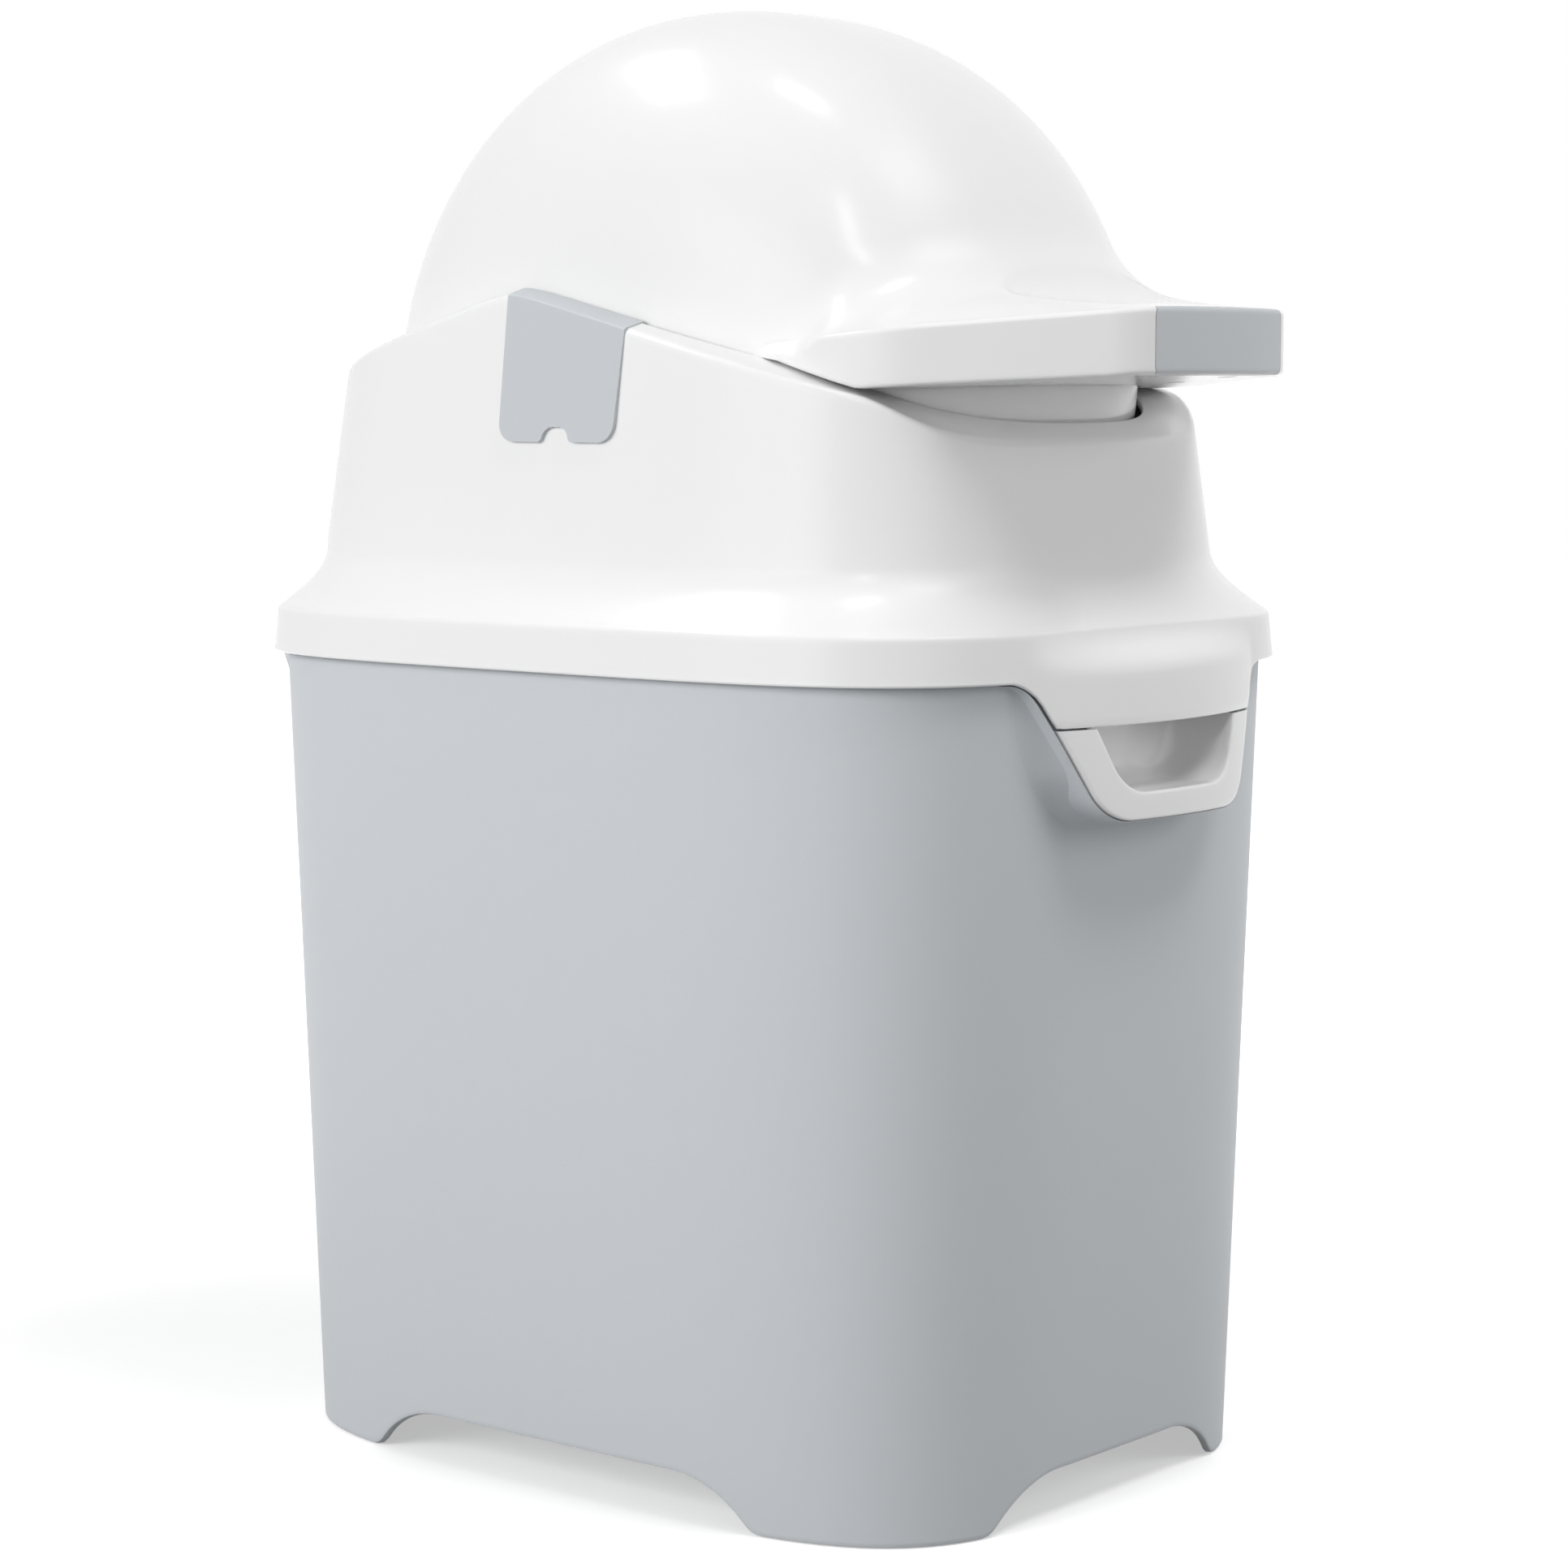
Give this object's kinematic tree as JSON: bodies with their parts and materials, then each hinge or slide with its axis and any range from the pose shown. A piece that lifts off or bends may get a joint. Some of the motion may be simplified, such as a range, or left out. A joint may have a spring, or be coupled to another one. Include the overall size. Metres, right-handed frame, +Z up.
{
  "type": "nappy bin",
  "caption": "Tall grey nappy bin on arched feet with a white hinged head, side clips and a white flip drum whose broad handle turns a piston chute over.",
  "frame": {"origin": "on the floor, under the middle of the tub's base", "axes": "+Z up, -Y towards the front with the handle and finger pocket, +X across the width, along the drum's axle"},
  "size_m": [0.2676, 0.3811, 0.522],
  "materials": {
    "tub_plastic": "fine matt grain, bluish grey",
    "white_plastic": "smooth gloss white",
    "clip_plastic": "satin, bluish grey",
    "seal_rubber": "soft matt rubber",
    "steel": "plain turned steel",
    "cast_iron": "dark cast surface"
  },
  "bodies": {
    "base": {"tub": "tub_plastic", "grip_pocket": "white_plastic", "hinge_pins": "steel"},
    "head": {"head_shell": "white_plastic", "lid_seal": "seal_rubber", "drum_collar": "white_plastic", "drum_seal": "seal_rubber", "collar_screws": "steel", "cradle_left": "white_plastic", "cradle_right": "white_plastic", "cradle_screws": "steel"},
    "drum": {"dome_shell": "white_plastic", "drum_bowl": "white_plastic", "drum_screws": "steel", "handle_base": "white_plastic", "base_screws": "steel", "grip_insert": "clip_plastic", "axle_left": "clip_plastic", "axle_right": "clip_plastic", "chute_cup": "white_plastic", "chute_ring": "white_plastic", "ring_screws": "steel"},
    "piston": {"piston_cup": "white_plastic", "piston_weight": "cast_iron", "piston_lid": "white_plastic", "piston_seal": "seal_rubber", "weight_bolt": "steel"},
    "left_clip": {"clip_left": "clip_plastic"},
    "right_clip": {"clip_right": "clip_plastic"}
  },
  "joints": [
    {"name": "lid_hinge", "type": "hinge", "parent": "base", "child": "head", "pos_m": [0, 0.177, 0.291], "axis": [-1, 0, 0], "range_deg": [0, 95]},
    {"name": "drum_flip", "type": "hinge", "parent": "head", "child": "drum", "pos_m": [0, 0.0023, 0.398], "axis": [-1, 0, 0], "range_deg": [0, 165]},
    {"name": "piston_slide", "type": "slide", "parent": "drum", "child": "piston", "axis": [0, 0, 1], "range_m": [0, 0.103]},
    {"name": "clip_left_lift", "type": "slide", "parent": "head", "child": "left_clip", "axis": [0, 0, 1], "range_m": [0, 0.06]},
    {"name": "clip_right_lift", "type": "slide", "parent": "head", "child": "right_clip", "axis": [0, 0, 1], "range_m": [0, 0.06]}
  ]
}
